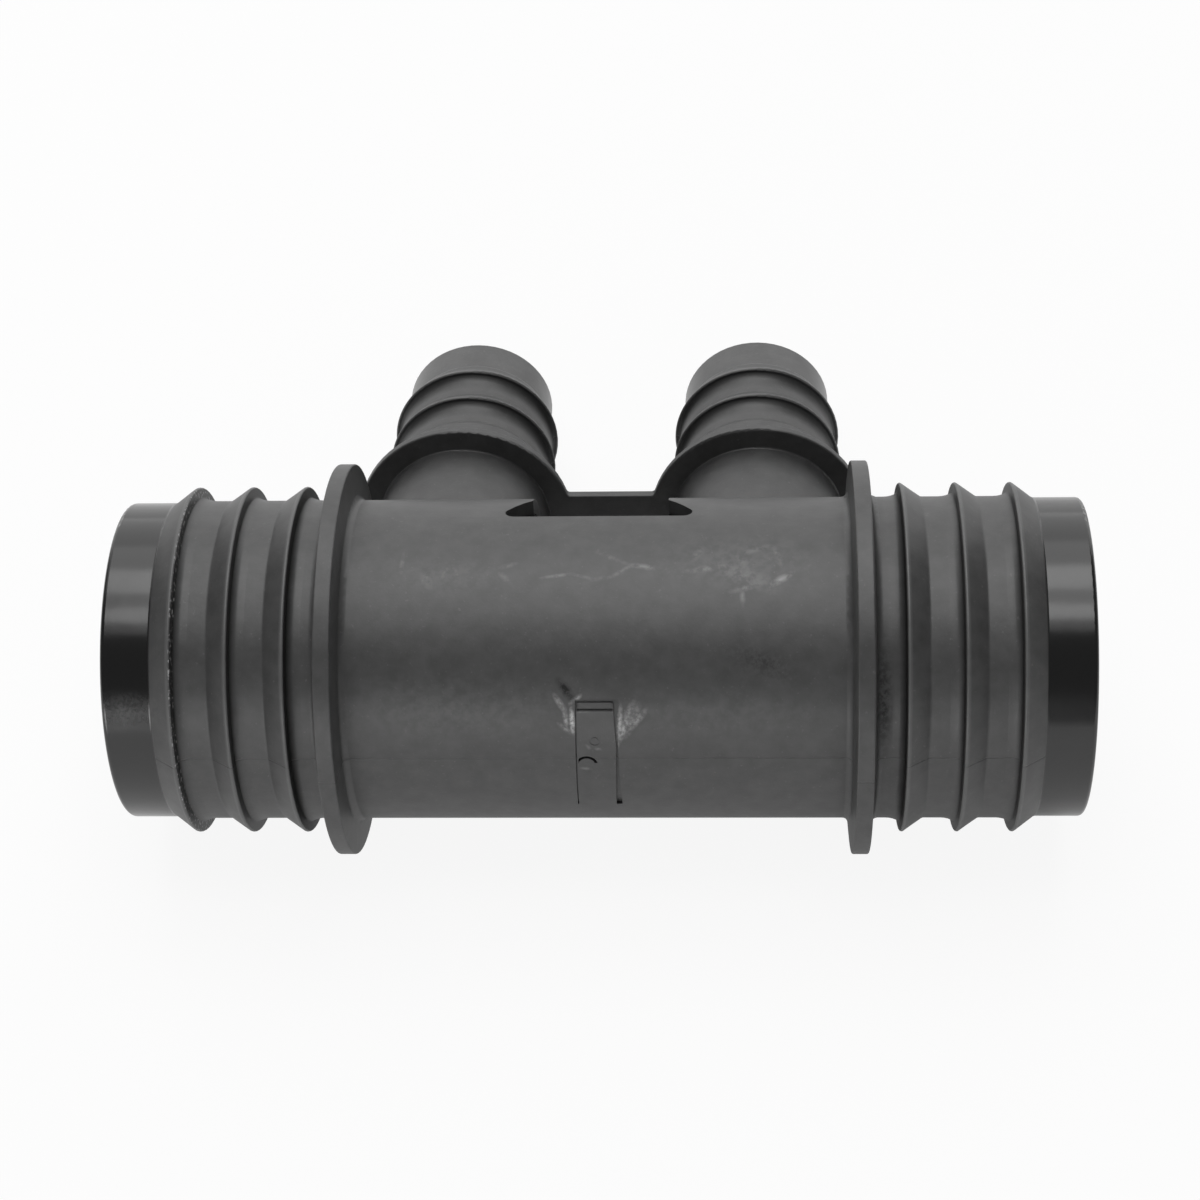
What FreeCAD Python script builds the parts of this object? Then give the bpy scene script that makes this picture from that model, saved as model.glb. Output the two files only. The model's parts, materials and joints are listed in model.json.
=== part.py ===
import FreeCAD, Part
import math
import os

# Coolant hose connector, moulded in one piece. A straight main tube takes a large hose on each
# end. Two parallel stubs on its side take smaller hoses, and a thin bar ties their collars.
# Between the stubs the tube is pocketed, which leaves a low passage inside, so that most of the
# coolant goes out through one stub and comes back through the other.

# It is drawn first in the mould's own directions, from the middle of the main tube: X along the
# tube, Y along the stubs, and Z across the parting plane. Then it is laid down as it comes to
# rest, on its two flanges and the ends of its two stubs. Lengths are in millimetres.

# Main tube and its hose ends. The nose is the plain end in front of the barbs.
main_nose_r = 19.05
main_wall = 3.05
main_core_step = 0.2
main_end_length = 24.95
main_nose_to_crest = 8.5
main_barb_pitch = 6.55
main_barb_height = 1.6
main_barb_root = 0.4
main_barb_ramp_deg = 35.0
main_nose_ramp_deg = 37.0
main_end_round = 0.55

# Flanges that stop the large hoses.
flange_height = 4.35
flange_tip_thickness = 1.95
flange_draft = 0.4
flange_tip_round = 0.2
flange_foot_round = 0.8

# Stubs and their hose ends.
stub_spacing = 37.7
stub_nose_r = 9.7
stub_wall = 2.3
stub_core_step = 0.55
stub_end_length = 26.35
stub_nose_to_crest = 8.85
stub_barb_pitch = 6.35
stub_barb_height = 0.6
stub_barb_root = 0.25
stub_barb_ramp_deg = 22.0
stub_end_round = 0.3

# Necks that carry the stubs, their collars, and the bar between the collars.
neck_step = 0.7
collar_width = 2.82
collar_thickness = 1.2
collar_over_flange = 5.3
collar_rim_round = 0.25
collar_root_round = 0.2
bar_half_width = 3.7
bar_corner_round = 0.5

# Shape shared by all barbs, and the softened inner edge of every hose end. A barb's back is steep
# and stands on a root that curves up to it out of the core.
barb_back_deg = 3.0
barb_root_deg = 24.0
crest_round = 0.25
cove_round = 0.2
ramp_foot_round = 0.5
least_barb_gap = 2.0
mouth_chamfer = 0.4

# Pocket across the tube between the necks, and the wall that is left under and beside it.
pocket_floor = 2.7
pocket_foot_half = 12.0
pocket_lean_deg = 34.0
pocket_foot_round = 1.1
pocket_knuckle_round = 0.2
pocket_wall = 3.0

# Narrower stretch of the main bore around the pocket, where the moulding's two cores meet.
land_step = 0.5
land_beyond_weir = 0.5

# How far each neck runs into the flange beside it and stands out of the pocket's side.
neck_into_flange = 0.45
neck_proud = 0.2

# Gate mark on the back of the tube, across the parting plane: a tab with a slot round it that is
# widest at the tab's upper right corner and runs out downwards. Heights are across that plane.
gate_left = -2.27
gate_right = 2.7
gate_top = 7.85
gate_waist = 2.3
gate_foot = -8.0
gate_depth = 0.4
tab_left = -2.1
tab_right = 2.0
tab_top = 6.5
tab_lean = 0.3
waist_slot = 0.2
left_slot = 0.13
ledge_top = 7.35
ledge_foot = 6.7
ledge_depth = 0.2
ring_x = -0.14
ring_height = 2.9
ring_r = 0.62
ring_width = 0.22
ring_depth = 0.06
tear_x = -1.16
tear_height = -0.55
tear_r = 1.3
tear_width = 0.32
tear_depth = 0.5
tear_reach = 0.3

# Share of a barb's root that is rounded off where it rises from the core.
root_fill = 0.8

# Margin by which a cutting shape runs past what it cuts.
past = 2.0

# Sizes that follow.
main_core_r = main_nose_r + main_core_step
main_bore_r = main_nose_r - main_wall
flange_r = main_core_r + flange_height
stub_x = stub_spacing / 2
stub_core_r = stub_nose_r + stub_core_step
stub_bore_r = stub_nose_r - stub_wall
shoulder_r = stub_core_r + stub_barb_height
neck_r = stub_core_r + neck_step
collar_r = neck_r + collar_width
collar_under = flange_r + collar_over_flange
collar_top = collar_under + collar_thickness
stub_end = collar_top + stub_end_length
flange_in = stub_x + neck_r - neck_into_flange
flange_out = flange_in + 2 * flange_draft + flange_tip_thickness
main_end = flange_out + main_end_length
pocket_mouth_half = stub_x - neck_r + neck_proud
pocket_lean = math.radians(pocket_lean_deg)
foot_centre_x = pocket_foot_half - pocket_foot_round * (math.tan(pocket_lean) + 1 / math.cos(pocket_lean))
land_half = foot_centre_x + pocket_foot_round + pocket_wall + land_beyond_weir


def vector(x, y, z=0.0):
    return FreeCAD.Vector(x, y, z)


def rounded_face(corners):
    """Flat face in the XY plane from (x, y, rounding) corners, in order round the outline."""
    count = len(corners)
    starts = []
    ends = []
    middles = []
    for index in range(count):
        x, y, radius = corners[index]
        corner = vector(x, y)
        before = vector(*corners[index - 1][:2]) - corner
        after = vector(*corners[(index + 1) % count][:2]) - corner
        if radius == 0:
            starts.append(corner)
            ends.append(corner)
            middles.append(None)
            continue
        half = before.getAngle(after) / 2
        before.normalize()
        after.normalize()
        reach = radius / math.tan(half)
        towards_centre = before + after
        towards_centre.normalize()
        starts.append(corner + before * reach)
        ends.append(corner + after * reach)
        middles.append(corner + towards_centre * (radius / math.sin(half) - radius))
    edges = []
    for index in range(count):
        if middles[index] is not None:
            edges.append(Part.Arc(starts[index], middles[index], ends[index]).toShape())
        edges.append(Part.LineSegment(ends[index], starts[(index + 1) % count]).toShape())
    return Part.Face(Part.Wire(edges))


def crest_lift(ramp_deg):
    """How far the sharp corner of a barb stands above its rounded crest."""
    half = math.radians(180 - ramp_deg - (90 - barb_back_deg)) / 2
    return crest_round * (1 / math.sin(half) - 1)


def hose_end(stop, end, nose_r, core_r, nose_to_crest, pitch, height, root, ramp_deg, nose_ramp_deg):
    """Corners along a barbed hose end, as (place along the axis, radius, rounding).

    The barbs are set from the nose inwards, as many as fit in front of the stop. The ramp of the
    barb next to the nose has its own slope.
    """
    crests = []
    crest = end - nose_to_crest
    while crest > stop + least_barb_gap:
        crests.insert(0, crest)
        crest -= pitch
    root_slope = math.radians(barb_root_deg)
    root_run = root / math.tan(root_slope)
    root_round = root_fill * root_run / math.tan(root_slope / 2)
    corners = []
    for crest in crests:
        foot_r, angle = (nose_r, nose_ramp_deg) if crest == crests[-1] else (core_r, ramp_deg)
        tip = height + crest_lift(angle)
        back = (tip - root) * math.tan(math.radians(barb_back_deg))
        ramp = (core_r + tip - foot_r) / math.tan(math.radians(angle))
        corners.append((crest - back - root_run, core_r, root_round))
        corners.append((crest - back, core_r + root, cove_round))
        corners.append((crest, core_r + tip, crest_round))
        corners.append((crest + ramp, foot_r, ramp_foot_round))
    return corners


def stub_hose_end():
    """Corners along a stub's hose end. Its innermost barb has no back: it runs on to the collar."""
    corners = hose_end(
        collar_top, stub_end, stub_nose_r, stub_core_r, stub_nose_to_crest, stub_barb_pitch,
        stub_barb_height, stub_barb_root, stub_barb_ramp_deg, stub_barb_ramp_deg,
    )
    ramp_foot = corners[3]
    shoulder_x = ramp_foot[0] - stub_barb_height / math.tan(math.radians(stub_barb_ramp_deg))
    return [(shoulder_x, shoulder_r, ramp_foot_round), ramp_foot] + corners[4:]


def main_tube():
    """Main tube, solid, with its barbs and flanges, turned about X."""
    side = [
        (flange_in, main_core_r, flange_foot_round),
        (flange_in + flange_draft, flange_r, flange_tip_round),
        (flange_out - flange_draft, flange_r, flange_tip_round),
        (flange_out, main_core_r, flange_foot_round),
    ]
    side += hose_end(
        flange_out, main_end, main_nose_r, main_core_r, main_nose_to_crest,
        main_barb_pitch, main_barb_height, main_barb_root, main_barb_ramp_deg, main_nose_ramp_deg,
    )
    side.append((main_end, main_nose_r, main_end_round))
    other_side = [(-x, radius, rounding) for x, radius, rounding in side]
    outline = [(-main_end, 0, 0), (main_end, 0, 0)] + side[::-1] + other_side
    return rounded_face(outline).revolve(vector(0, 0), vector(1, 0), 360)


def stub():
    """One stub, solid, from the main tube's axis to its end, turned about Y."""
    root_r = neck_r + 2 * collar_root_round
    profile = [
        (0, 0, 0),
        (0, neck_r, 0),
        (collar_under, neck_r, collar_root_round),
        (collar_under, root_r, 0),
        (collar_top, root_r, 0),
        (collar_top, shoulder_r, collar_root_round),
    ]
    profile += stub_hose_end()
    profile += [
        (stub_end, stub_nose_r, stub_end_round),
        (stub_end, 0, 0),
    ]
    outline = [(radius, along, rounding) for along, radius, rounding in profile]
    return rounded_face(outline).revolve(vector(0, 0), vector(0, 1), 360)


def collar_plate():
    """Both collars and the bar between them, one flat plate with softened edges."""
    reach = collar_r + bar_corner_round
    lift = bar_half_width + bar_corner_round
    corner_x = stub_x - math.sqrt(reach ** 2 - lift ** 2)
    touch_x = stub_x - (stub_x - corner_x) * collar_r / reach
    touch_z = lift * collar_r / reach
    diagonal = vector(stub_x - corner_x, -lift).normalize()
    corner_middle = vector(corner_x, lift) + (diagonal + vector(0, -1)).normalize() * bar_corner_round
    edges = []
    for side in (1, -1):
        edges.append(Part.Arc(
            vector(side * touch_x, touch_z),
            vector(side * (stub_x + collar_r), 0),
            vector(side * touch_x, -touch_z),
        ).toShape())
        edges.append(Part.LineSegment(
            vector(-corner_x, side * bar_half_width),
            vector(corner_x, side * bar_half_width),
        ).toShape())
        for end in (1, -1):
            edges.append(Part.Arc(
                vector(end * corner_x, side * bar_half_width),
                vector(end * corner_middle.x, side * corner_middle.y),
                vector(end * touch_x, side * touch_z),
            ).toShape())
    face = Part.Face(Part.Wire(Part.__sortEdges__(edges)))
    plate = face.extrude(vector(0, 0, collar_thickness))
    rims = [
        edge for edge in plate.Edges
        if edge.BoundBox.ZLength < collar_thickness / 2
    ]
    plate = plate.makeFillet(collar_rim_round, rims)
    plate.rotate(vector(0, 0), vector(1, 0), -90)
    plate.translate(vector(0, collar_under))
    return plate


def pocket_shape(offset, foot_round, knuckle_round, top):
    """The pocket as a bar across the tube, grown outwards by the offset."""
    floor = pocket_floor - offset
    foot = pocket_foot_half + offset * (math.tan(pocket_lean) + 1 / math.cos(pocket_lean))
    mouth = pocket_mouth_half + offset
    knuckle = floor + (foot - mouth) / math.tan(pocket_lean)
    side = [
        (foot, floor, foot_round),
        (mouth, knuckle, knuckle_round),
        (mouth, top, 0),
    ]
    other_side = [(-x, y, rounding) for x, y, rounding in side[::-1]]
    depth = flange_r + past
    bar = rounded_face(side + other_side).extrude(vector(0, 0, 2 * depth))
    bar.translate(vector(0, 0, -depth))
    return bar


def bore(start, end, radius):
    """A round bore along X from its start to its end, chamfered where it comes out."""
    outline = [
        (start, 0, 0),
        (start, radius, 0),
        (end - mouth_chamfer, radius, 0),
        (end + past, radius + mouth_chamfer + past, 0),
        (end + past, 0, 0),
    ]
    return rounded_face(outline).revolve(vector(0, 0), vector(1, 0), 360)


def cavity():
    """The passages inside: both main bores, both stub bores, and the low way under the pocket."""
    right = bore(land_half, main_end, main_bore_r)
    left = right.mirror(vector(0, 0), vector(1, 0))
    passages = [left]
    for x in (-stub_x, stub_x):
        passage = bore(0, stub_end, stub_bore_r)
        passage.rotate(vector(0, 0), vector(0, 0, 1), 90)
        passage.translate(vector(x, 0))
        passages.append(passage)
    half_land = land_half + past
    land = Part.makeCylinder(
        main_bore_r - land_step, 2 * half_land, vector(-half_land, 0), vector(1, 0),
    )
    hollow = land.fuse([right] + passages)
    weir = pocket_shape(pocket_wall, pocket_foot_round + pocket_wall, 0, main_core_r + past)
    return hollow.cut(weir)


def skin_deep(outline, depth):
    """Cutter for a mark on the back of the tube: an outline in X and Z, as deep as that all over."""
    wall = Part.Face(Part.makePolygon(outline + outline[:1])).extrude(vector(0, -main_core_r - past))
    return wall.cut(Part.makeCylinder(
        main_core_r - depth, 2 * gate_right + past, vector(-gate_right - past / 2, 0), vector(1, 0),
    ))


def strip(left, right, foot, top):
    """Corners of an upright rectangle in X and Z."""
    return [vector(left, 0, foot), vector(right, 0, foot), vector(right, 0, top), vector(left, 0, top)]


def marked_by_gate(body):
    """The tube with the slots round the gate tab, the ledge over it, a shallow ring and the tear."""
    right_slot = [
        vector(tab_right, 0, gate_top),
        vector(gate_right, 0, gate_top),
        vector(tab_right + tab_lean + waist_slot, 0, gate_waist),
        vector(gate_right, 0, gate_foot),
        vector(tab_right, 0, gate_foot),
        vector(tab_right + tab_lean, 0, gate_waist),
    ]
    left_slot_outline = [
        vector(gate_left, 0, gate_top),
        vector(tab_left, 0, gate_top),
        vector(tab_left - tab_lean, 0, gate_foot),
        vector(tab_left - tab_lean - left_slot, 0, gate_foot),
    ]
    cutters = [
        skin_deep(right_slot, gate_depth),
        skin_deep(left_slot_outline, gate_depth),
        skin_deep(strip(gate_left, gate_right, ledge_top, gate_top), gate_depth),
        skin_deep(strip(tab_left, tab_right, ledge_foot, ledge_top), ledge_depth),
        skin_deep(strip(tab_left, tab_right, tab_top, ledge_foot), gate_depth),
    ]
    reach = main_core_r + past
    ring = Part.makeCylinder(ring_r, reach, vector(ring_x, -reach, ring_height), vector(0, 1))
    pip = Part.makeCylinder(ring_r - ring_width, reach, vector(ring_x, -reach, ring_height), vector(0, 1))
    cutters.append(ring.cut([pip, Part.makeCylinder(
        main_core_r - ring_depth, 2 * ring_r + past, vector(ring_x - ring_r - past / 2, 0), vector(1, 0),
    )]))
    outer = Part.makeCylinder(tear_r, reach, vector(tear_x, -reach, tear_height), vector(0, 1))
    inner = Part.makeCylinder(
        tear_r - tear_width, reach, vector(tear_x, -reach, tear_height), vector(0, 1),
    )
    upper = Part.makeBox(
        2 * tear_r, reach, tear_r, vector(tab_left, -reach, tear_height + tear_reach),
    )
    tear_floor = Part.makeCylinder(
        main_core_r - tear_depth, 2 * gate_right, vector(-gate_right, 0), vector(1, 0),
    )
    cutters.append(outer.cut(inner).common(upper).cut(tear_floor))
    return body.cut(cutters)


def lie_angle():
    """Tilt of the stubs, in radians, at which the part rests on its flanges and its stubs."""
    tilts = []
    contacts = stub_hose_end()
    contacts.append((stub_end - stub_end_round, stub_nose_r, stub_end_round))
    for along, radius, rounding in contacts:
        centre_r = radius - rounding
        height = flange_r - rounding
        tilts.append(math.asin(height / math.hypot(along, centre_r)) - math.atan2(centre_r, along))
    return min(tilts)


def connector():
    body = main_tube().cut(pocket_shape(0, pocket_foot_round, pocket_knuckle_round, flange_r + past))
    stubs = []
    for x in (-stub_x, stub_x):
        piece = stub()
        piece.translate(vector(x, 0))
        stubs.append(piece)
    body = marked_by_gate(body)
    body = body.fuse(stubs + [collar_plate()]).removeSplitter()
    return body.cut(cavity()).removeSplitter()


def laid_down(body):
    """The part at rest: origin on the floor, under the middle of the box that holds it."""
    body.rotate(vector(0, 0), vector(1, 0), -math.degrees(lie_angle()))
    box = body.optimalBoundingBox(False)
    body.translate(vector(-box.Center.x, -box.Center.y, -box.ZMin))
    return body


os.makedirs("parts", exist_ok=True)
part = laid_down(connector())
print("volume", part.Volume, "solids", len(part.Solids), "valid", part.isValid())
print("tilt", math.degrees(lie_angle()), "box", part.optimalBoundingBox(False))
part.exportStep("parts/connector_body.step")
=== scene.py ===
import bpy
import json
import math
from mathutils import Euler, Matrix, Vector

bl_info = {
    "name": "Coolant Hose Connector",
    "version": (1, 0, 0),
    "blender": (4, 5, 0),
    "location": "View3D > Sidebar > Connector",
    "description": "Finishes a moulded hose connector and sets it on a pale floor under a softbox",
    "category": "Object",
}

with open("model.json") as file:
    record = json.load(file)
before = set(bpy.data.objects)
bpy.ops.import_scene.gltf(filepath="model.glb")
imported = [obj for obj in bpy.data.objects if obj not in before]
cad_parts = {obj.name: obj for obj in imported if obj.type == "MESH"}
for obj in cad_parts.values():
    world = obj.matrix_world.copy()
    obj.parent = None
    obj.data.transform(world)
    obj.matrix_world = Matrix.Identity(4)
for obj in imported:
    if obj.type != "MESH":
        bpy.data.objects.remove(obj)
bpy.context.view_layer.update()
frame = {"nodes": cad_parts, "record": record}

MM = 0.001
BODY = "connector_body"

# Sizes of the patterns in the skin, in millimetres. The mould's grain is really about 0.1 across,
# too fine to show from here, so it is drawn coarser.
GRAIN_SIZE = 0.4
WAVE_SIZE = 2.4
CLOUD_SIZE = 2.0
FLECK_SIZE = 0.45
SPECK_SIZE = 0.5

# The part of each noise's range that turns to a cloud, a fleck, a speck or the gaps in a mark, and
# how much of its own colour a full fleck or speck has.
CLOUD_RANGE = (0.3, 0.7)
FLECK_RANGE = (0.64, 0.8)
SPECK_RANGE = (0.56, 0.68)
GAP_RANGE = (0.36, 0.62)
FLECK_SHARE = 0.5
SPECK_SHARE = 0.8

# The two depths between which the polish fades, in millimetres: into the wall from a bore, and
# before the start of a nose.
MAIN_CORE_EDGE = (1.0, 2.0)
STUB_CORE_EDGE = (0.5, 1.2)
MAIN_NOSE_EDGE = (0.4, 0.1)
STUB_NOSE_EDGE = (0.6, 0.2)

# The index of refraction of nylon is about 1.53, and that of glass 1.56. A little over both gives
# the highlights their strength. Then the roughness of dirt, which the painted shade beside the right
# flange gets too.
NYLON_IOR = 1.6
GRIME_ROUGHNESS = 0.9

# The parting line: its height over the plane through the tube's axis, and half its width, in
# millimetres.
PARTING_HEIGHT = 0.45
PARTING_HALF_WIDTH = 0.16

# The barbs' crests, in millimetres from the tube's middle and up the stubs from the tube's axis, and
# how far the rounded corner behind each of them, with its painted shade, and the band of painted
# highlight before it reach.
MAIN_CRESTS = (48.55, 42.0, 35.45)
STUB_CRESTS = (47.6, 41.25)
MAIN_CORNER = 0.9
STUB_CORNER = 3.2
MAIN_HIGHLIGHT_BAND = 0.25
STUB_HIGHLIGHT_BAND = 0.5

# A corner and its painted shade rise towards the crest by this power. The painted highlight on a
# crest fades out and is full at these distances, in halves of its band, and the knocked edge at these,
# in millimetres.
CORNER_POWER = 2.0
HIGHLIGHT_FADE = (1.6, 0.3)
KNOCK_FADE = (0.2, 0.05)

# Marks on the main tube: each runs between two points, given along the tube from its middle and
# round it from the parting plane, and has a width, all in millimetres, and a strength.
# Whitened where the cutter crushed the skin round the gate tab, with nicks on the tab, and last a
# faint mottled patch on the left nose.
WHITENED = (
    ((-2.72, 7.0), (-2.58, 3.7), 0.8, 1.3),
    ((-4.6, 8.5), (-3.4, 6.5), 0.9, 0.5),
    ((-3.5, 7.1), (-3.25, 4.4), 0.8, 0.6),
    ((-4.2, 5.1), (-2.6, 3.7), 0.8, 0.35),
    ((-2.4, 7.8), (-1.7, 8.4), 0.8, 0.6),
    ((-2.9, 7.4), (-2.5, 8.0), 0.6, 0.4),
    ((2.95, 7.2), (2.55, 2.2), 0.9, 0.8),
    ((3.9, 6.4), (2.6, 2.6), 1.1, 0.7),
    ((5.8, 6.7), (3.8, 4.3), 1.1, 0.45),
    ((5.0, 7.3), (3.4, 3.4), 1.3, 0.4),
    ((4.4, 7.6), (3.2, 5.0), 1.2, 0.35),
    ((-1.9, -1.0), (-0.7, -1.2), 0.6, 0.2),
    ((-1.1, 2.2), (-0.8, 1.9), 0.6, 0.2),
    ((0.0, 1.8), (0.5, 1.7), 0.6, 0.2),
    ((-2.1, 6.5), (-0.6, 6.5), 0.3, 0.25),
    ((-56.6, 6.8), (-51.8, 6.8), 5.2, 0.11),
)
# Rubbed pale where parts lay together, and last four wide, faint patches.
RUBBED = (
    ((-22.3, 25.9), (-22.5, 22.3), 0.7, 0.15),
    ((-19.8, 23.0), (-19.1, 21.3), 1.8, 0.13),
    ((-17.9, 21.9), (-16.6, 24.3), 0.9, 0.12),
    ((-16.7, 24.3), (-15.9, 22.8), 0.8, 0.12),
    ((-11.4, 23.3), (-9.8, 21.6), 1.0, 0.13),
    ((-11.2, 23.5), (-9.2, 24.2), 0.9, 0.14),
    ((-6.4, 22.2), (-2.3, 22.8), 0.6, 0.22),
    ((-3.1, 22.8), (0.2, 21.9), 0.6, 0.12),
    ((-0.4, 21.9), (2.2, 22.4), 0.8, 0.14),
    ((1.7, 22.2), (4.6, 24.1), 0.8, 0.16),
    ((3.8, 23.9), (7.3, 23.4), 1.0, 0.26),
    ((-0.4, 26.0), (4.0, 23.9), 0.8, 0.12),
    ((10.0, 22.9), (16.2, 23.9), 1.2, 0.22),
    ((19.7, 20.9), (22.6, 22.7), 1.2, 0.42),
    ((15.3, 20.3), (19.7, 21.6), 1.1, 0.26),
    ((16.8, 20.8), (16.9, 18.7), 0.8, 0.22),
    ((13.4, 23.9), (20.4, 21.0), 3.2, 0.16),
    ((15.8, 25.0), (20.6, 26.9), 1.3, 0.14),
    ((20.3, 26.8), (21.5, 23.2), 1.3, 0.14),
    ((11.0, 24.4), (12.4, 26.4), 1.6, 0.12),
    ((16.5, 26.0), (17.5, 22.0), 2.4, 0.12),
    ((10.5, 24.2), (22.5, 24.4), 9.0, 0.05),
    ((-21.6, 22.6), (-12.0, 22.4), 6.0, 0.04),
    ((-28.0, 7.0), (-4.0, 6.6), 9.0, 0.04),
    ((4.0, 6.2), (24.0, 6.0), 7.0, 0.025),
)
# Smudged dark at the gate tab's corner and on the body's right half, and last a painted shade in the
# valley beside the right flange.
SMUDGED_AND_SHADED = (
    ((-4.1, 10.2), (-2.6, 8.1), 1.5, 1.4),
    ((-3.0, 8.4), (-2.5, 7.6), 0.7, 0.7),
    ((15.5, 13.4), (22.8, 10.9), 4.5, 0.75),
    # Painted shade in the valley beside the right flange's outer face.
    ((32.8, 16.0), (32.8, 0.5), 2.6, 1.0),
)
# What breaks the marks up: the size of the noise's lumps in millimetres, and the share of a mark
# that stays between them.
WHITENED_LUMPS = (0.5, 0.3)
RUBBED_LUMPS = (1.0, 0.15)
SMUDGED_AND_SHADED_LUMPS = (0.6, 0.35)

# The lamps' distance from the tube's axis, and where the softbox starts and ends along the tube, in
# metres.
LAMP_REACH = 0.75
SOFTBOX_SIDES = (-0.26, 0.26)

# In reflections the floor's white glow carries a painted shadow: it darkens towards this point beyond
# the part's right end, from the further of these two distances to the nearer, all in metres. The
# studio's white backdrop fades out at this height, where straight up is 1.
DARK_POINT = (0.08, 0, 0)
DARK_REACH = (0.05, 0.24)
BACKDROP_TOP = 0.12

# The camera: its sensor and lens in millimetres, its slope against the plane of the stubs in
# degrees, its turn and roll in radians, and how far it stands aside and above in its own
# directions, in millimetres.
SENSOR = 36.0
LENS = 81.644
SLOPE = 52.9836
TURN = 0.0527380
ROLL = 0.0048285
ASIDE = -0.37382
ABOVE = 6.99430

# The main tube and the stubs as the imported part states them: the tube's middle, the way the stubs
# point, and in millimetres the radii and starts of the noses and the bores' radii.
mounts = {mount["name"]: mount for mount in frame["record"]["mounts"]}
hose_end = mounts["hose_end_right"]
stub_end = mounts["stub_end_right"]
tube_middle = Vector((0, hose_end["pos_m"][1], hose_end["pos_m"][2]))
stub_way = stub_end["axis"]
stub_tilt = math.atan2(-stub_way[2], stub_way[1])
main_nose_r = hose_end["dims"]["r_mm"]
main_nose_start = hose_end["pos_m"][0] / MM - hose_end["dims"]["length_mm"] / 2
main_bore_r = mounts["port_right"]["dims"]["r_mm"]
stub_x = stub_end["pos_m"][0] / MM
stub_bore_r = mounts["stub_port_right"]["dims"]["r_mm"]
stub_nose_middle = (Vector(stub_end["pos_m"]) - tube_middle).dot(Vector(stub_way)) / MM
stub_nose_start = stub_nose_middle - stub_end["dims"]["length_mm"] / 2


def linear(colour):
    """An sRGB hex colour as linear red, green, blue and alpha."""
    channels = [int(colour[i:i + 2], 16) / 255 for i in (1, 3, 5)]
    return [c / 12.92 if c <= 0.04045 else ((c + 0.055) / 1.055) ** 2.4 for c in channels] + [1.0]


def add_node(tree, kind, place, inputs=None, **settings):
    """Adds a node with its settings; inputs gives each socket a value or the socket that feeds it.

    A Mix node's factor is input 0. Its numbers are inputs 2 and 3, and its colours are inputs 6 and
    7 and output 2.
    """
    node = tree.nodes.new(kind)
    node.location = place
    for name, value in settings.items():
        setattr(node, name, value)
    for socket, value in (inputs or {}).items():
        if isinstance(value, bpy.types.NodeSocket):
            tree.links.new(value, node.inputs[socket])
        else:
            node.inputs[socket].default_value = value
    return node


class MouldingSettings(bpy.types.PropertyGroup):
    skin_colour: bpy.props.FloatVectorProperty(
        name="Skin colour", description="Colour of the matt, spark-eroded skin",
        default=linear("#3e3e3e"), size=4, subtype="COLOR", min=0, max=1,
    )
    nose_colour: bpy.props.FloatVectorProperty(
        name="Nose colour", description="Colour of the polished noses, bores and pocket",
        default=linear("#111111"), size=4, subtype="COLOR", min=0, max=1,
    )
    fibre_colour: bpy.props.FloatVectorProperty(
        name="Fibre colour", description="Colour of the flecks where glass fibres lie near the skin",
        default=linear("#5e5e5e"), size=4, subtype="COLOR", min=0, max=1,
    )
    # The crushed colour also paints a highlight along the crests' edges.
    crushed_and_highlight_colour: bpy.props.FloatVectorProperty(
        name="Crushed colour", description="Colour of skin that a cut, a knock or a rub has whitened",
        default=linear("#c4c4c4"), size=4, subtype="COLOR", min=0, max=1,
    )
    # The grime colour also paints shade into the corners behind the crests and beside the right flange.
    grime_and_shade_colour: bpy.props.FloatVectorProperty(
        name="Grime colour", description="Colour of the smudges and of the corners behind the crests",
        default=linear("#0c0c0c"), size=4, subtype="COLOR", min=0, max=1,
    )
    skin_roughness: bpy.props.FloatProperty(
        name="Skin roughness", description="Roughness of the matt skin",
        default=0.45, min=0, max=1, subtype="FACTOR",
    )
    nose_roughness: bpy.props.FloatProperty(
        name="Nose roughness", description="Roughness of the polished noses, bores and pocket",
        default=0.17, min=0, max=1, subtype="FACTOR",
    )
    stub_nose_roughness: bpy.props.FloatProperty(
        name="Stub nose roughness", description="Roughness of the noses of the two stubs",
        default=0.28, min=0, max=1, subtype="FACTOR",
    )
    cloudiness: bpy.props.FloatProperty(
        name="Cloudiness", description="How far the skin's colour goes up and down from patch to patch",
        default=0.2, min=0, max=0.9, subtype="FACTOR",
    )
    # Strength of the painted highlight along the crests' edges.
    crest_highlight_strength: bpy.props.FloatProperty(
        name="Edge wear", description="How far the crests' edges are rubbed towards white",
        default=0.08, min=0, max=1, subtype="FACTOR",
    )
    grain_depth: bpy.props.FloatProperty(
        name="Grain depth", description="Depth of the grain that the mould gives the skin",
        default=0.014 * MM, min=0, subtype="DISTANCE", unit="LENGTH", precision=6,
    )
    parting_depth: bpy.props.FloatProperty(
        name="Parting line depth", description="Depth of the line where the mould's halves met",
        default=0.05 * MM, min=0, subtype="DISTANCE", unit="LENGTH", precision=6,
    )
    corner_depth: bpy.props.FloatProperty(
        name="Corner depth",
        description="Rise of the rounded corner behind each of the tube's crests",
        default=0.35 * MM, min=0.001 * MM, subtype="DISTANCE", unit="LENGTH", precision=6,
    )
    stub_corner_depth: bpy.props.FloatProperty(
        name="Stub corner depth",
        description="Rise of the rounded corner behind each of the stubs' crests",
        default=1.3 * MM, min=0, subtype="DISTANCE", unit="LENGTH", precision=6,
    )


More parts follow.
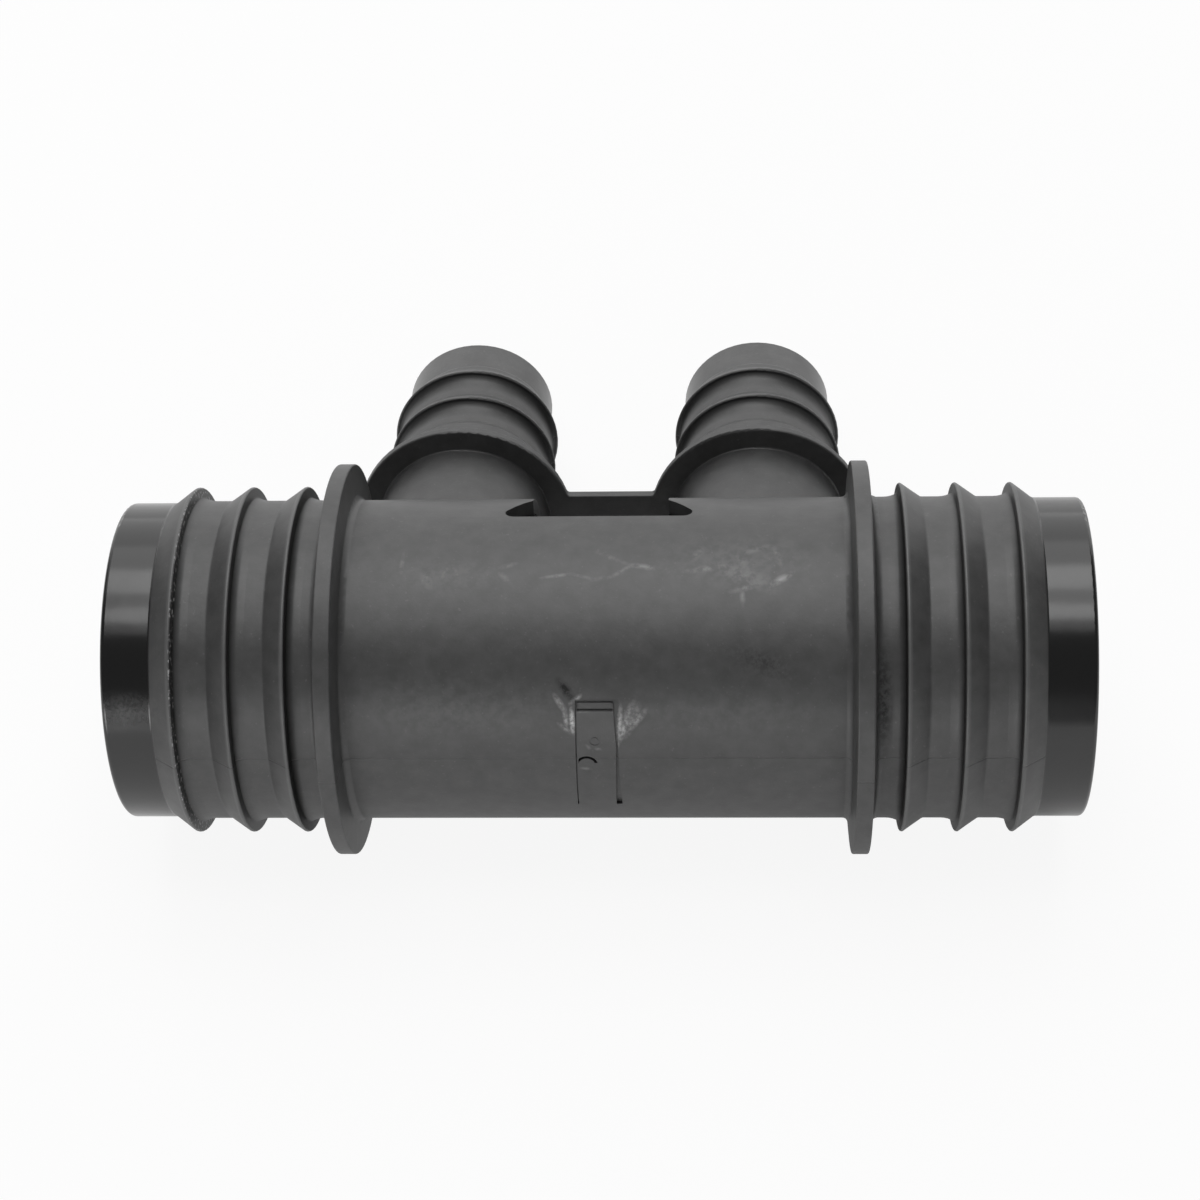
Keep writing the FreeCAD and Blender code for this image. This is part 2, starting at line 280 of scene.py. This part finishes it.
class StudioSettings(bpy.types.PropertyGroup):
    floor_colour: bpy.props.FloatVectorProperty(
        name="Floor colour", description="Colour of the floor under the part",
        default=linear("#ffffff"), size=4, subtype="COLOR", min=0, max=1,
    )
    floor_size: bpy.props.FloatProperty(
        name="Floor size", description="Length of the floor's sides",
        default=8.0, min=1, subtype="DISTANCE", unit="LENGTH",
    )
    floor_glow: bpy.props.FloatProperty(
        name="Floor glow", description="Share of the floor that stays plain white under the shadow",
        default=0.9, min=0, max=1, subtype="FACTOR",
    )
    mirrored_near: bpy.props.FloatProperty(
        name="Mirrored glow near",
        description="Share of that white that reflections show close to the part",
        default=0.28, min=0, max=1, subtype="FACTOR",
    )
    mirrored_far: bpy.props.FloatProperty(
        name="Mirrored glow far",
        description="Share of that white that reflections show away from the part",
        default=0.85, min=0, max=1, subtype="FACTOR",
    )
    softbox_radiance: bpy.props.FloatProperty(
        name="Softbox brightness",
        description="Brightness of the softbox overhead, where white paper is 1",
        default=3.4, min=0,
    )
    room_radiance: bpy.props.FloatProperty(
        name="Room brightness",
        description="Brightness of the room round the stage, where white paper is 1",
        default=0.16, min=0,
    )
    camera_distance: bpy.props.FloatProperty(
        name="Camera distance", description="From the camera to the level of the main tube's middle",
        default=0.32875, min=0.1, subtype="DISTANCE", unit="LENGTH",
    )


def mould_axes(tree):
    """Places in the mould's own directions, in millimetres: x along the main tube from its middle,
    s along the stubs from the tube's axis, and u across the parting plane."""
    place = add_node(tree, "ShaderNodeTexCoord", (-3000, 0))
    turned_middle = Euler((stub_tilt, 0, 0)).to_matrix() @ tube_middle
    mould = add_node(
        tree, "ShaderNodeMapping", (-2800, 0),
        {"Vector": place.outputs["Object"], "Location": -turned_middle / MM,
         "Rotation": (stub_tilt, 0, 0), "Scale": (1 / MM,) * 3},
    )
    axes = add_node(tree, "ShaderNodeSeparateXYZ", (-2600, 0), {0: mould.outputs[0]})
    return mould.outputs[0], axes.outputs[0], axes.outputs[1], axes.outputs[2]


def cored_surfaces(tree, from_middle, s, u):
    """1 on what a polished core formed: the bores, the pocket and the low passage."""
    across = add_node(tree, "ShaderNodeCombineXYZ", (-2400, 400), {0: s, 1: u})
    from_axis = add_node(
        tree, "ShaderNodeVectorMath", (-2200, 400), {0: across.outputs[0]}, operation="LENGTH",
    )
    in_tube = add_node(
        tree, "ShaderNodeMapRange", (-2000, 400),
        {"Value": from_axis.outputs["Value"], "From Min": main_bore_r + MAIN_CORE_EDGE[0],
         "From Max": main_bore_r + MAIN_CORE_EDGE[1], "To Min": 1.0, "To Max": 0.0},
        interpolation_type="SMOOTHSTEP",
    )
    aside = add_node(
        tree, "ShaderNodeMath", (-2200, 600), {0: from_middle, 1: stub_x}, operation="SUBTRACT",
    )
    stub_across = add_node(tree, "ShaderNodeCombineXYZ", (-2000, 600), {0: aside.outputs[0], 1: u})
    from_stub = add_node(
        tree, "ShaderNodeVectorMath", (-1800, 600), {0: stub_across.outputs[0]}, operation="LENGTH",
    )
    in_stub = add_node(
        tree, "ShaderNodeMapRange", (-1600, 600),
        {"Value": from_stub.outputs["Value"], "From Min": stub_bore_r + STUB_CORE_EDGE[0],
         "From Max": stub_bore_r + STUB_CORE_EDGE[1], "To Min": 1.0, "To Max": 0.0},
        interpolation_type="SMOOTHSTEP",
    )
    up_stub = add_node(
        tree, "ShaderNodeMath", (-1600, 800), {0: s, 1: main_nose_r}, operation="GREATER_THAN",
    )
    in_stub_bore = add_node(
        tree, "ShaderNodeMath", (-1400, 600), {0: in_stub.outputs[0], 1: up_stub.outputs[0]},
        operation="MULTIPLY",
    )
    return add_node(
        tree, "ShaderNodeMath", (-1200, 500), {0: in_tube.outputs[0], 1: in_stub_bore.outputs[0]},
        operation="MAXIMUM",
    ).outputs[0]


def clouded_skin(tree, mould, settings):
    """The skin's colour, clouded by patches rich and poor in fibres, and the share of pale flecks."""
    clouds = add_node(
        tree, "ShaderNodeTexNoise", (-1400, -400),
        {"Vector": mould, "Scale": 1 / CLOUD_SIZE, "Detail": 4.0, "Roughness": 0.55},
    )
    cloudy = add_node(
        tree, "ShaderNodeMapRange", (-1200, -400),
        {"Value": clouds.outputs[0], "From Min": CLOUD_RANGE[0], "From Max": CLOUD_RANGE[1]},
    )
    dark, light = (
        [channel * share for channel in settings.skin_colour[:3]] + [1.0]
        for share in (1 - settings.cloudiness, 1 + settings.cloudiness)
    )
    skin = add_node(
        tree, "ShaderNodeMix", (-1000, -400), {0: cloudy.outputs[0], 6: dark, 7: light},
        data_type="RGBA",
    )
    flecks = add_node(
        tree, "ShaderNodeTexNoise", (-1400, -650),
        {"Vector": mould, "Scale": 1 / FLECK_SIZE, "Detail": 2.0, "Roughness": 0.5},
    )
    flecked = add_node(
        tree, "ShaderNodeMapRange", (-1200, -650),
        {"Value": flecks.outputs[0], "From Min": FLECK_RANGE[0], "From Max": FLECK_RANGE[1],
         "To Max": FLECK_SHARE},
        interpolation_type="SMOOTHSTEP",
    )
    return skin.outputs[2], flecked.outputs[0]


def barb_edges(tree, along, crests, reach, rubbed, place):
    """The rounded corner behind each barb's crest, as a height from 0 to 1 that is steepest at the
    crest and as a painted shade that is 1 at the crest, and the distance to the middle of the band of
    painted highlight before the crest, in halves of the band."""
    height, shade, distance = None, None, None
    for index, crest in enumerate(crests):
        column, row = place[0], place[1] - 400 * index
        behind = add_node(
            tree, "ShaderNodeMath", (column, row), {0: crest, 1: along}, operation="SUBTRACT",
        )
        nearness = add_node(
            tree, "ShaderNodeMapRange", (column + 180, row),
            {"Value": behind.outputs[0], "From Min": reach, "From Max": 0.0},
        )
        rise = add_node(
            tree, "ShaderNodeMath", (column + 360, row), {0: nearness.outputs[0], 1: CORNER_POWER},
            operation="POWER",
        )
        inner = add_node(
            tree, "ShaderNodeMath", (column + 180, row - 200), {0: behind.outputs[0], 1: 0.0},
            operation="GREATER_THAN",
        )
        cornered = add_node(
            tree, "ShaderNodeMath", (column + 360, row - 200),
            {0: rise.outputs[0], 1: inner.outputs[0]}, operation="MULTIPLY",
        )
        before = add_node(
            tree, "ShaderNodeMath", (column + 180, row - 300),
            {0: behind.outputs[0], 1: 1 / rubbed, 2: 1.0}, operation="MULTIPLY_ADD",
        )
        apart = add_node(
            tree, "ShaderNodeMath", (column + 360, row - 300), {0: before.outputs[0]},
            operation="ABSOLUTE",
        )
        if index == 0:
            height, shade, distance = rise.outputs[0], cornered.outputs[0], apart.outputs[0]
            continue
        height, shade, distance = (
            add_node(
                tree, "ShaderNodeMath", (column + 540, row - 100 * step),
                {0: total, 1: part.outputs[0]}, operation=operation,
            ).outputs[0]
            for step, (total, part, operation) in enumerate((
                (height, rise, "ADD"), (shade, cornered, "MAXIMUM"), (distance, apart, "MINIMUM"),
            ))
        )
    return height, shade, distance


def barb_shading_and_wear(tree, mould, x, from_middle, s, settings):
    """The painted shade in the corners behind the barbs' crests, the strength of the painted highlight
    on the crests' edges, where the left end's outermost crest is knocked white in specks, and the
    corners' height as a share of the tube's corner depth."""
    tube_height, tube_shade, tube_crest = barb_edges(
        tree, from_middle, MAIN_CRESTS, MAIN_CORNER, MAIN_HIGHLIGHT_BAND, (-3000, 3200),
    )
    stub_height, stub_shade, stub_crest = barb_edges(
        tree, s, STUB_CRESTS, STUB_CORNER, STUB_HIGHLIGHT_BAND, (-3000, 1900),
    )
    corner = add_node(
        tree, "ShaderNodeMath", (-2000, 2600), {0: tube_shade, 1: stub_shade}, operation="MAXIMUM",
    )
    to_crest = add_node(
        tree, "ShaderNodeMath", (-2000, 2400), {0: tube_crest, 1: stub_crest}, operation="MINIMUM",
    )
    # A painted highlight along the crests' edges, in the crushed colour.
    edge = add_node(
        tree, "ShaderNodeMapRange", (-1800, 2400),
        {"Value": to_crest.outputs[0], "From Min": HIGHLIGHT_FADE[0], "From Max": HIGHLIGHT_FADE[1],
         "To Max": settings.crest_highlight_strength},
        interpolation_type="SMOOTHSTEP",
    )
    outermost = add_node(
        tree, "ShaderNodeMath", (-2000, 2200), {0: x, 1: MAIN_CRESTS[0]}, operation="ADD",
    )
    from_outermost = add_node(
        tree, "ShaderNodeMath", (-1800, 2200), {0: outermost.outputs[0]}, operation="ABSOLUTE",
    )
    knocked = add_node(
        tree, "ShaderNodeMapRange", (-1600, 2200),
        {"Value": from_outermost.outputs[0], "From Min": KNOCK_FADE[0], "From Max": KNOCK_FADE[1]},
        interpolation_type="SMOOTHSTEP",
    )
    specks = add_node(
        tree, "ShaderNodeTexNoise", (-1800, 2000),
        {"Vector": mould, "Scale": 1 / SPECK_SIZE, "Detail": 2.0},
    )
    speckled = add_node(
        tree, "ShaderNodeMapRange", (-1600, 2000),
        {"Value": specks.outputs[0], "From Min": SPECK_RANGE[0], "From Max": SPECK_RANGE[1],
         "To Max": SPECK_SHARE},
    )
    whitened_edge = add_node(
        tree, "ShaderNodeMath", (-1400, 2100), {0: knocked.outputs[0], 1: speckled.outputs[0]},
        operation="MULTIPLY",
    )
    corner_height = add_node(
        tree, "ShaderNodeMath", (-1000, 1500),
        {0: stub_height, 1: settings.stub_corner_depth / settings.corner_depth, 2: tube_height},
        operation="MULTIPLY_ADD",
    )
    return corner.outputs[0], edge.outputs[0], whitened_edge.outputs[0], corner_height.outputs[0]


def rolled_out(tree, x, s, u):
    """Places on the tube's skin rolled out flat: along the tube, and round it from the parting
    plane, in millimetres."""
    downward = add_node(tree, "ShaderNodeMath", (-2400, -900), {0: s, 1: -1.0}, operation="MULTIPLY")
    angle = add_node(
        tree, "ShaderNodeMath", (-2200, -900), {0: u, 1: downward.outputs[0]}, operation="ARCTAN2",
    )
    round_tube = add_node(
        tree, "ShaderNodeMath", (-2000, -900), {0: angle.outputs[0], 1: main_nose_r},
        operation="MULTIPLY",
    )
    return add_node(
        tree, "ShaderNodeCombineXYZ", (-1800, -800), {0: x, 1: round_tube.outputs[0]},
    ).outputs[0]


def streaks(tree, skin, marks, place):
    """Each mark's strength along its middle, fading to 0 at its ends and sides."""
    total = None
    for index, (start, end, width, strength) in enumerate(marks):
        start, end = Vector(start), Vector(end)
        along = end - start
        column, row = place[0], place[1] - 160 * index
        oval = add_node(
            tree, "ShaderNodeMapping", (column, row),
            {"Vector": skin, "Location": ((start + end) / 2).to_3d(),
             "Rotation": (0, 0, math.atan2(along.y, along.x)),
             "Scale": (along.length / 2 + width / 2, width / 2, 1)},
            vector_type="TEXTURE",
        )
        fade = add_node(
            tree, "ShaderNodeTexGradient", (column + 180, row), {0: oval.outputs[0]},
            gradient_type="SPHERICAL",
        )
        mark = add_node(
            tree, "ShaderNodeMath", (column + 360, row), {0: fade.outputs["Fac"], 1: strength},
            operation="MULTIPLY",
        )
        if total is None:
            total = mark.outputs[0]
            continue
        total = add_node(
            tree, "ShaderNodeMath", (column + 540, row), {0: total, 1: mark.outputs[0]},
            operation="MAXIMUM",
        ).outputs[0]
    return total


def broken_up(tree, mask, mould, lumps, place):
    """A mask that noise breaks up, with lumps of a size in millimetres and the least that stays
    between them."""
    size, least = lumps
    noise = add_node(
        tree, "ShaderNodeTexNoise", place,
        {"Vector": mould, "Scale": 1 / size, "Detail": 3.0, "Roughness": 0.65},
    )
    gaps = add_node(
        tree, "ShaderNodeMapRange", (place[0] + 180, place[1]),
        {"Value": noise.outputs[0], "From Min": GAP_RANGE[0], "From Max": GAP_RANGE[1],
         "To Min": least},
        interpolation_type="SMOOTHSTEP",
    )
    return add_node(
        tree, "ShaderNodeMath", (place[0] + 360, place[1]), {0: mask, 1: gaps.outputs[0]},
        operation="MULTIPLY", use_clamp=True,
    ).outputs[0]


def skin_relief(tree, mould, u, polished, outside, corner_height, settings):
    """The normal over the mould's grain, or the waves in its polished steel, then the barbs' corners
    on the outside, and the parting line where nothing is polished."""
    grain = add_node(
        tree, "ShaderNodeTexNoise", (-1400, 1200),
        {"Vector": mould, "Scale": 1 / GRAIN_SIZE, "Detail": 2.0, "Roughness": 0.6},
    )
    waves = add_node(
        tree, "ShaderNodeTexNoise", (-1400, 1450),
        {"Vector": mould, "Scale": 1 / WAVE_SIZE, "Detail": 1.0, "Roughness": 0.4},
    )
    relief = add_node(
        tree, "ShaderNodeMix", (-1200, 1300), {0: polished, 2: grain.outputs[0], 3: waves.outputs[0]},
    )
    moulded = add_node(
        tree, "ShaderNodeBump", (-800, 1200),
        {"Height": relief.outputs[0], "Distance": settings.grain_depth, "Strength": 1.0},
    )
    cornered = add_node(
        tree, "ShaderNodeBump", (-600, 1300),
        {"Height": corner_height, "Distance": settings.corner_depth, "Strength": outside,
         "Normal": moulded.outputs[0]},
    )
    off_line = add_node(
        tree, "ShaderNodeMath", (-1400, 1000), {0: u, 1: PARTING_HEIGHT}, operation="SUBTRACT",
    )
    line_distance = add_node(
        tree, "ShaderNodeMath", (-1200, 1000), {0: off_line.outputs[0]}, operation="ABSOLUTE",
    )
    line = add_node(
        tree, "ShaderNodeMapRange", (-1000, 1000),
        {"Value": line_distance.outputs[0], "From Max": PARTING_HALF_WIDTH},
        interpolation_type="SMOOTHSTEP",
    )
    on_skin = add_node(
        tree, "ShaderNodeMath", (-800, 1000), {0: line.outputs[0], 1: polished}, operation="MAXIMUM",
    )
    return add_node(
        tree, "ShaderNodeBump", (-600, 1000),
        {"Height": on_skin.outputs[0], "Distance": settings.parting_depth, "Strength": 1.0,
         "Normal": cornered.outputs[0]},
    ).outputs[0]


def glass_filled_nylon(settings):
    """Black glass-filled nylon, injection moulded.

    Most of it has the matt skin of a spark-eroded mould, which gives soft, wide highlights. The
    main noses come from polished steel sleeves, and the bores and the pocket from polished cores,
    so they are darker and mirror the lamps. The stubs' noses are in between. Glass fibres near the
    skin make it a little cloudy, and where a cut or a knock crushed it, it has turned white.
    """
    material = bpy.data.materials.new("glass_filled_nylon_moulded")
    material.use_nodes = True
    tree = material.node_tree
    tree.nodes.clear()
    mould, x, s, u = mould_axes(tree)
    from_middle = add_node(
        tree, "ShaderNodeMath", (-2400, 200), {0: x}, operation="ABSOLUTE",
    ).outputs[0]
    main_nose = add_node(
        tree, "ShaderNodeMapRange", (-1000, 200),
        {"Value": from_middle, "From Min": main_nose_start - MAIN_NOSE_EDGE[0],
         "From Max": main_nose_start - MAIN_NOSE_EDGE[1]},
        interpolation_type="SMOOTHSTEP",
    )
    stub_nose = add_node(
        tree, "ShaderNodeMapRange", (-1000, -100),
        {"Value": s, "From Min": stub_nose_start - STUB_NOSE_EDGE[0],
         "From Max": stub_nose_start - STUB_NOSE_EDGE[1]},
        interpolation_type="SMOOTHSTEP",
    )
    cored = cored_surfaces(tree, from_middle, s, u)
    outside = add_node(
        tree, "ShaderNodeMath", (-1000, 500), {0: 1.0, 1: cored}, operation="SUBTRACT",
    ).outputs[0]
    polished = add_node(
        tree, "ShaderNodeMath", (-800, 300), {0: main_nose.outputs[0], 1: cored}, operation="MAXIMUM",
    ).outputs[0]

    colour, flecks = clouded_skin(tree, mould, settings)
    corner, crest_highlight_share, knocked_edge, corner_height = barb_shading_and_wear(
        tree, mould, x, from_middle, s, settings,
    )
    skin = rolled_out(tree, x, s, u)
    whitened, rubbed, smudged_and_shaded = (
        broken_up(tree, streaks(tree, skin, marks, (-1800, row)), mould, lumps, (-900, row))
        for marks, lumps, row in (
            (WHITENED, WHITENED_LUMPS, -1000),
            (RUBBED, RUBBED_LUMPS, -3800),
            (SMUDGED_AND_SHADED, SMUDGED_AND_SHADED_LUMPS, -8000),
        )
    )
    # Laid over the skin in turn: fibre flecks, painted shade in the corners behind the crests, a
    # painted highlight on the crests' edges, knocked specks, polish, rubbed and whitened marks, and the
    # smudges, the last of which is painted shade beside the right flange.
    for index, (share, tint) in enumerate((
        (flecks, settings.fibre_colour),
        (corner, settings.grime_and_shade_colour),
        (crest_highlight_share, settings.crushed_and_highlight_colour),
        (knocked_edge, settings.crushed_and_highlight_colour),
        (polished, settings.nose_colour),
        (rubbed, settings.crushed_and_highlight_colour),
        (whitened, settings.crushed_and_highlight_colour),
        (smudged_and_shaded, settings.grime_and_shade_colour),
    )):
        colour = add_node(
            tree, "ShaderNodeMix", (-300, -400 - 250 * index), {0: share, 6: colour, 7: list(tint)},
            data_type="RGBA",
        ).outputs[2]

    outer_roughness = add_node(
        tree, "ShaderNodeMix", (-600, -100),
        {0: stub_nose.outputs[0], 2: settings.skin_roughness, 3: settings.stub_nose_roughness},
    )
    clean_roughness = add_node(
        tree, "ShaderNodeMix", (-400, -100),
        {0: polished, 2: outer_roughness.outputs[0], 3: settings.nose_roughness},
    )
    roughness = add_node(
        tree, "ShaderNodeMix", (-200, -100),
        {0: smudged_and_shaded, 2: clean_roughness.outputs[0], 3: GRIME_ROUGHNESS},
    )
    normal = skin_relief(tree, mould, u, polished, outside, corner_height, settings)
    shader = add_node(
        tree, "ShaderNodeBsdfPrincipled", (0, 0),
        {"Base Color": colour, "Roughness": roughness.outputs[0], "IOR": NYLON_IOR, "Normal": normal},
    )
    add_node(tree, "ShaderNodeOutputMaterial", (300, 0), {"Surface": shader.outputs[0]})
    return material


class CONNECTOR_OT_finish_body(bpy.types.Operator):
    """Give the moulded body its skin of glass-filled nylon"""

    bl_idname = "connector.finish_body"
    bl_label = "Finish Body"
    bl_options = {"REGISTER", "UNDO"}

    def execute(self, context):
        material = glass_filled_nylon(context.scene.moulding)
        for slot in frame["nodes"][BODY].material_slots:
            slot.material = material
        return {"FINISHED"}


def lamp_on_arc(scene, name, elevations, sides, radiance):
    """A rectangular lamp, or a card that a lamp lights, on an arc round the main tube's axis.

    Elevations are in degrees, from the floor behind the part over the top to the floor in front.
    Sides are where it starts and ends along the tube. Its brightness is that of white paper at 1.
    """
    low, high = (math.radians(angle) for angle in elevations)
    middle = (low + high) / 2
    away = Vector((0, math.cos(middle), math.sin(middle)))
    data = bpy.data.lights.new(name, "AREA")
    data.shape = "RECTANGLE"
    data.size = sides[1] - sides[0]
    data.size_y = 2 * LAMP_REACH * math.tan((high - low) / 2)
    data.energy = radiance * math.pi * data.size * data.size_y
    lamp = bpy.data.objects.new(name, data)
    lamp.location = tube_middle + Vector((sum(sides) / 2, 0, 0)) + away * LAMP_REACH
    lamp.rotation_euler = (-away).to_track_quat("-Z", "Y").to_euler()
    lamp.visible_camera = False
    scene.collection.objects.link(lamp)


def seen_or_mirrored(tree, share, place):
    """1 for a ray from the camera, the share for one off a glossy surface or through a clear one, and
    0 for the rest."""
    path = add_node(tree, "ShaderNodeLightPath", place)
    mirrored = add_node(
        tree, "ShaderNodeMath", (place[0] + 150, place[1] - 150),
        {0: path.outputs["Is Glossy Ray"], 1: path.outputs["Is Transmission Ray"]}, operation="MAXIMUM",
    )
    shown = add_node(
        tree, "ShaderNodeMath", (place[0] + 300, place[1] - 150), {0: mirrored.outputs[0], 1: share},
        operation="MULTIPLY",
    )
    return add_node(
        tree, "ShaderNodeMath", (place[0] + 450, place[1]),
        {0: path.outputs["Is Camera Ray"], 1: shown.outputs[0]}, operation="MAXIMUM",
    ).outputs[0]


def white_card(settings):
    """Matt white card. To the camera and in reflections most of it is plain white, as a background
    is that is lit apart from the object, and the rest takes the object's shadow. In reflections the
    white is painted darker towards the part, and more so on the part's right, as a painted shadow away
    from the window."""
    material = bpy.data.materials.new("matt_white_card")
    material.use_nodes = True
    tree = material.node_tree
    tree.nodes.clear()
    shadowed = add_node(
        tree, "ShaderNodeBsdfDiffuse", (-200, 100),
        {"Color": list(settings.floor_colour), "Roughness": 1.0},
    )
    white = add_node(
        tree, "ShaderNodeEmission", (-200, -100), {"Color": linear("#ffffff"), "Strength": 1.0},
    )
    place = add_node(tree, "ShaderNodeTexCoord", (-1800, 200))
    from_part = add_node(
        tree, "ShaderNodeVectorMath", (-1600, 200), {0: place.outputs["Object"], 1: DARK_POINT},
        operation="DISTANCE",
    )
    # The white that reflections show is painted darker near the part, as its shadow.
    mirrored = add_node(
        tree, "ShaderNodeMapRange", (-1400, 200),
        {"Value": from_part.outputs["Value"], "From Min": DARK_REACH[0], "From Max": DARK_REACH[1],
         "To Min": settings.mirrored_near, "To Max": settings.mirrored_far},
    )
    lit_apart = add_node(
        tree, "ShaderNodeMath", (-400, 200),
        {0: seen_or_mirrored(tree, mirrored.outputs[0], (-1000, 200)), 1: settings.floor_glow},
        operation="MULTIPLY",
    )
    floor = add_node(
        tree, "ShaderNodeMixShader", (0, 0),
        {0: lit_apart.outputs[0], 1: shadowed.outputs[0], 2: white.outputs[0]},
    )
    add_node(tree, "ShaderNodeOutputMaterial", (200, 0), {"Surface": floor.outputs[0]})
    return material


def studio_room(settings):
    """The room round the stage. To the camera, and low down in reflections, it is a white
    backdrop."""
    world = bpy.data.worlds.new("studio")
    world.use_nodes = True
    tree = world.node_tree
    tree.nodes.clear()
    room = add_node(
        tree, "ShaderNodeBackground", (-200, 0),
        {"Color": linear("#ffffff"), "Strength": settings.room_radiance},
    )
    white = add_node(
        tree, "ShaderNodeBackground", (-200, -150), {"Color": linear("#ffffff"), "Strength": 1.0},
    )
    direction = add_node(tree, "ShaderNodeTexCoord", (-1200, -200))
    height = add_node(
        tree, "ShaderNodeSeparateXYZ", (-1000, -200), {0: direction.outputs["Generated"]},
    )
    low = add_node(
        tree, "ShaderNodeMapRange", (-800, -200),
        {"Value": height.outputs[2], "From Max": BACKDROP_TOP, "To Min": 1.0, "To Max": 0.0},
        interpolation_type="SMOOTHSTEP",
    )
    sky = add_node(
        tree, "ShaderNodeMixShader", (0, 0),
        {0: seen_or_mirrored(tree, low.outputs[0], (-600, 200)), 1: room.outputs[0],
         2: white.outputs[0]},
    )
    add_node(tree, "ShaderNodeOutputWorld", (200, 0), {"Surface": sky.outputs[0]})
    return world


class CONNECTOR_OT_set_stage(bpy.types.Operator):
    """Lay the pale floor and set up the lamps, the surroundings and the camera"""

    bl_idname = "connector.set_stage"
    bl_label = "Set Stage"
    bl_options = {"REGISTER", "UNDO"}

    def execute(self, context):
        scene = context.scene
        self.lay_floor(context)
        self.hang_lamps(scene)
        scene.world = studio_room(scene.studio)
        self.aim_camera(scene)
        scene.view_settings.view_transform = "Standard"
        return {"FINISHED"}

    def lay_floor(self, context):
        bpy.ops.object.select_all(action="DESELECT")
        bpy.ops.mesh.primitive_plane_add(size=context.scene.studio.floor_size)
        floor = context.object
        floor.name = "floor"
        floor.data.materials.append(white_card(context.scene.studio))

    def hang_lamps(self, scene):
        bright = scene.studio.softbox_radiance
        for name, elevations, sides, radiance in (
            ("card_behind", (3, 38), (-0.8, 0.8), 1.1),
            ("card_behind_high", (38, 60), (-0.28, 0.28), 1.7),
            ("card_behind_left", (38, 76), (-0.8, -0.28), 0.7),
            ("softbox_rear_tubes", (60, 79), SOFTBOX_SIDES, bright),
            ("softbox_middle", (79, 90), SOFTBOX_SIDES, 0.55 * bright),
            ("softbox_front_tubes", (90, 101), SOFTBOX_SIDES, bright),
            ("softbox_rim", (101, 109), SOFTBOX_SIDES, 0.3 * bright),
            ("card_in_front", (156, 179), (-0.18, 0.08), 2.4),
            ("card_in_front_right", (160, 179), (0.16, 0.7), 0.15),
            ("window_left", (164, 179), (-0.75, -0.26), 4.0),
        ):
            lamp_on_arc(scene, name, elevations, sides, radiance)

    def aim_camera(self, scene):
        data = bpy.data.cameras.new("camera")
        data.sensor_width = SENSOR
        data.lens = LENS
        camera = bpy.data.objects.new("camera", data)
        angles = (math.radians(SLOPE) - stub_tilt, TURN, -ROLL)
        camera.rotation_mode = "ZYX"
        camera.rotation_euler = angles
        stand = Vector((ASIDE * MM, ABOVE * MM, scene.studio.camera_distance))
        camera.location = tube_middle + Euler(angles, "ZYX").to_matrix() @ stand
        scene.collection.objects.link(camera)
        scene.camera = camera


class CONNECTOR_PT_sidebar(bpy.types.Panel):
    """Settings and steps for the hose connector"""

    bl_label = "Hose Connector"
    bl_idname = "CONNECTOR_PT_sidebar"
    bl_space_type = "VIEW_3D"
    bl_region_type = "UI"
    bl_category = "Connector"

    def draw(self, context):
        for settings, operator in (
            (context.scene.moulding, "connector.finish_body"),
            (context.scene.studio, "connector.set_stage"),
        ):
            box = self.layout.box()
            for name in settings.__annotations__:
                box.prop(settings, name)
            box.operator(operator)


classes = (
    MouldingSettings,
    StudioSettings,
    CONNECTOR_OT_finish_body,
    CONNECTOR_OT_set_stage,
    CONNECTOR_PT_sidebar,
)


def register():
    for cls in classes:
        bpy.utils.register_class(cls)
    bpy.types.Scene.moulding = bpy.props.PointerProperty(type=MouldingSettings)
    bpy.types.Scene.studio = bpy.props.PointerProperty(type=StudioSettings)


def unregister():
    del bpy.types.Scene.studio
    del bpy.types.Scene.moulding
    for cls in reversed(classes):
        bpy.utils.unregister_class(cls)


def main():
    register()
    bpy.ops.connector.finish_body()
    bpy.ops.connector.set_stage()


if __name__ == "__main__":
    main()
